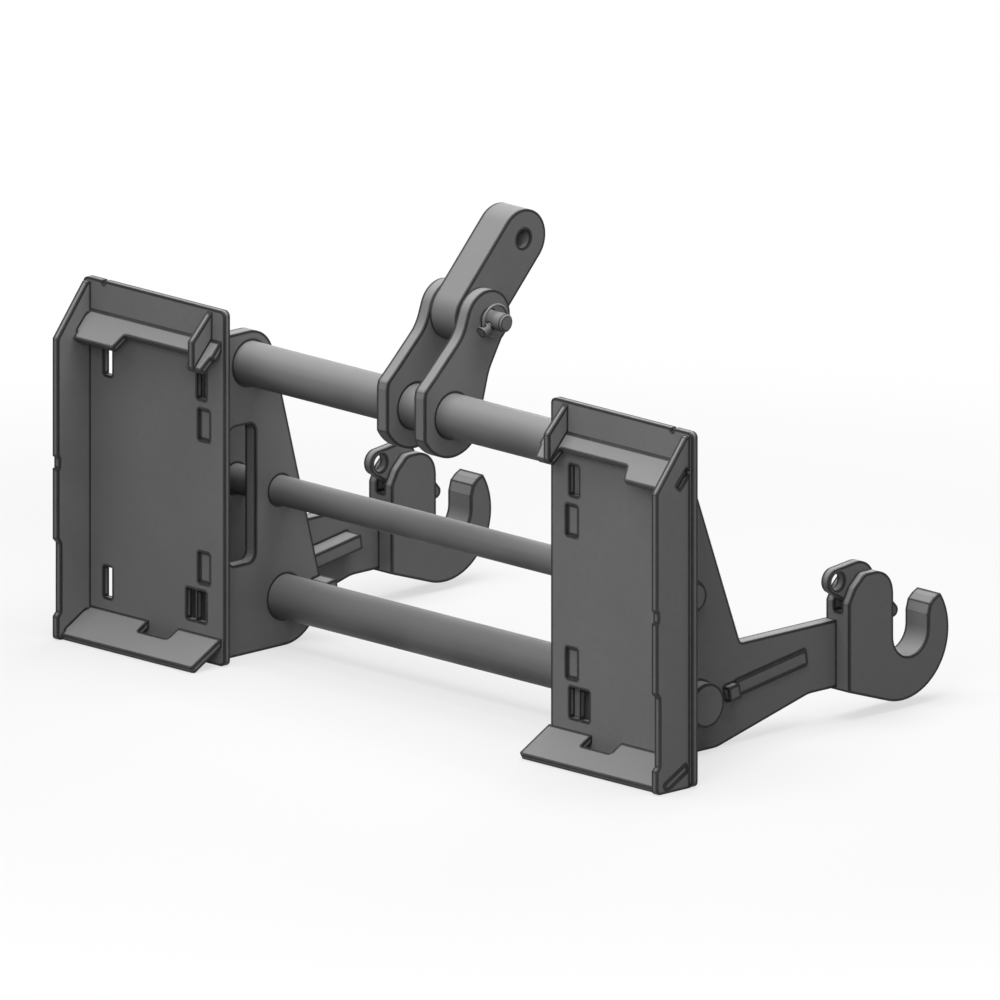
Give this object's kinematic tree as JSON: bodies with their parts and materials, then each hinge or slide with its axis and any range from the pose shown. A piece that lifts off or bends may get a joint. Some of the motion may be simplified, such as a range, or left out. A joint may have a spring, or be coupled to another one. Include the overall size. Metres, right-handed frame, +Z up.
{
  "type": "three-point adapter frame",
  "caption": "Welded adapter frame that hangs on a loader's quick coupler and carries a three-point implement on latched lower hooks and a swinging top link.",
  "frame": {"origin": "middle of the footprint, at the underside of the coupler plates", "axes": "+X across the frame to the right, +Y from the coupler plates to the hooks, +Z up"},
  "size_m": [1.164, 0.641, 0.6497],
  "materials": {
    "grey_paint": "satin grey paint on cut steel plate",
    "bare_steel": "dull turned steel"
  },
  "bodies": {
    "frame": {"left_coupler_plate": "grey_paint", "right_coupler_plate": "grey_paint", "left_side_flange": "grey_paint", "right_side_flange": "grey_paint", "left_top_lip": "grey_paint", "right_top_lip": "grey_paint", "left_bottom_lip": "grey_paint", "right_bottom_lip": "grey_paint", "left_top_gusset": "grey_paint", "right_top_gusset": "grey_paint", "left_inner_cheek": "grey_paint", "right_inner_cheek": "grey_paint", "left_arm_plate": "grey_paint", "right_arm_plate": "grey_paint", "left_arm_brace": "grey_paint", "right_arm_brace": "grey_paint", "left_key_bar": "grey_paint", "right_key_bar": "grey_paint", "left_hook": "grey_paint", "right_hook": "grey_paint", "left_latch_pin": "bare_steel", "right_latch_pin": "bare_steel", "left_latch_spring": "bare_steel", "right_latch_spring": "bare_steel", "left_link_ear": "grey_paint", "right_link_ear": "grey_paint", "top_bar": "bare_steel", "middle_bar": "bare_steel", "bottom_bar": "bare_steel", "link_pin": "bare_steel", "linch_pin": "bare_steel"},
    "top_link": {"top_link": "grey_paint"},
    "left_latch": {"left_latch": "grey_paint"},
    "right_latch": {"right_latch": "grey_paint"},
    "linch_ring": {"linch_ring": "bare_steel"}
  },
  "joints": [
    {"name": "top_link_tilt", "type": "hinge", "parent": "frame", "child": "top_link", "pos_m": [0, -0.1175, 0.519], "axis": [1, 0, 0], "range_deg": [-133, 160]},
    {"name": "left_latch_open", "type": "hinge", "parent": "frame", "child": "left_latch", "pos_m": [-0.425, 0.1851, 0.164], "axis": [1, 0, 0], "range_deg": [-35, 0], "stiffness_Nm_per_rad": 1.5, "springref_deg": 28.65},
    {"name": "right_latch_open", "type": "hinge", "parent": "frame", "child": "right_latch", "pos_m": [0.449, 0.1851, 0.164], "axis": [1, 0, 0], "range_deg": [-35, 0], "stiffness_Nm_per_rad": 1.5, "springref_deg": 28.65},
    {"name": "linch_ring_swing", "type": "hinge", "parent": "frame", "child": "linch_ring", "pos_m": [0.05985, -0.13867, 0.51001], "axis": [0, 0.3907, -0.9205], "range_deg": [0, 150], "stiffness_Nm_per_rad": 0.05, "springref_deg": -17.19}
  ]
}
